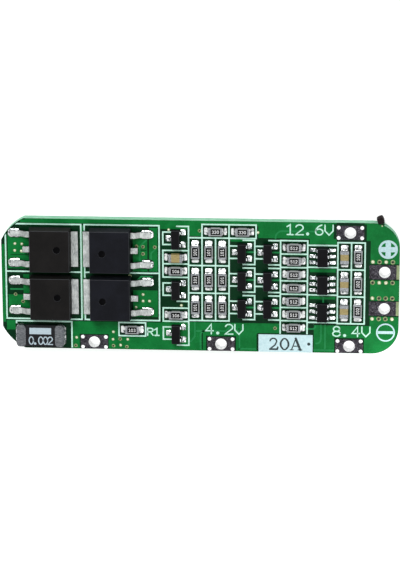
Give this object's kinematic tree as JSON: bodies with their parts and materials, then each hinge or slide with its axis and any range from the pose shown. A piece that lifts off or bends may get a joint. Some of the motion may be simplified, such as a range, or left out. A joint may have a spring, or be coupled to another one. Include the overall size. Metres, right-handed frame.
{
  "type": "battery management board",
  "caption": "Flat green circuit board that protects and balances a series lithium pack, with power transistors, a current shunt, chip parts and plated wire holes.",
  "frame": {"origin": "middle of the board's back face; the small nub on the top edge is left out of it", "axes": "+X along the board from the power transistors to the output pads, +Y across it towards the edge with the nub, +Z out of the component side"},
  "size_m": [0.059, 0.0208, 0.0039],
  "materials": {
    "solder_mask": "gloss green solder mask on glass-fibre laminate",
    "print_ink": "pale mint print",
    "label_film": "pale matt sticker",
    "solder": "bright solder",
    "tinned_pad": "dull tinned copper",
    "moulding": "black moulded epoxy",
    "lead_metal": "matt tin-plated metal",
    "shunt_core": "dark coated core",
    "shunt_strap": "grey brushed metal",
    "capacitor_ceramic": "tan ceramic between bright ends",
    "resistor_ceramic": "white ceramic with dark film between bright ends"
  },
  "bodies": {
    "root": {"circuit_board": "solder_mask", "silkscreen": "print_ink", "rating_label": "label_film", "solder_joints": "solder", "wire_pad_battery_minus": "tinned_pad", "wire_pad_cell_1": "tinned_pad", "wire_pad_cell_2": "tinned_pad", "wire_pad_battery_plus": "tinned_pad", "wire_pad_output_plus": "tinned_pad", "wire_pad_output_minus": "tinned_pad", "power_transistor_body_1": "moulding", "power_transistor_body_2": "moulding", "power_transistor_body_3": "moulding", "power_transistor_body_4": "moulding", "power_transistor_metal_1": "lead_metal", "power_transistor_metal_2": "lead_metal", "power_transistor_metal_3": "lead_metal", "power_transistor_metal_4": "lead_metal", "shunt_body": "shunt_core", "shunt_straps": "shunt_strap", "protection_chip_body_1": "moulding", "protection_chip_body_2": "moulding", "protection_chip_body_3": "moulding", "protection_chip_leads": "lead_metal", "switch_transistor_body_1": "moulding", "switch_transistor_body_2": "moulding", "switch_transistor_body_3": "moulding", "switch_transistor_body_4": "moulding", "switch_transistor_body_5": "moulding", "switch_transistor_body_6": "moulding", "switch_transistor_body_7": "moulding", "switch_transistor_body_8": "moulding", "switch_transistor_body_9": "moulding", "switch_transistor_leads": "lead_metal", "control_capacitor": "capacitor_ceramic", "filter_capacitor_1": "capacitor_ceramic", "filter_capacitor_2": "capacitor_ceramic", "filter_capacitor_3": "capacitor_ceramic", "bleed_resistor_1": "resistor_ceramic", "bleed_resistor_2": "resistor_ceramic", "bleed_resistor_3": "resistor_ceramic", "bleed_resistor_4": "resistor_ceramic", "bleed_resistor_5": "resistor_ceramic", "bleed_resistor_6": "resistor_ceramic", "bleed_resistor_7": "resistor_ceramic", "bleed_resistor_8": "resistor_ceramic", "bleed_resistor_9": "resistor_ceramic", "ladder_resistor_1": "resistor_ceramic", "ladder_resistor_2": "resistor_ceramic", "ladder_resistor_3": "resistor_ceramic", "ladder_resistor_4": "resistor_ceramic", "ladder_resistor_5": "resistor_ceramic", "ladder_resistor_6": "resistor_ceramic", "ladder_resistor_7": "resistor_ceramic", "filter_resistor_1": "resistor_ceramic", "filter_resistor_2": "resistor_ceramic", "filter_resistor_3": "resistor_ceramic", "sense_resistor": "resistor_ceramic", "control_resistors": "resistor_ceramic", "supply_resistors": "resistor_ceramic"}
  },
  "joints": []
}
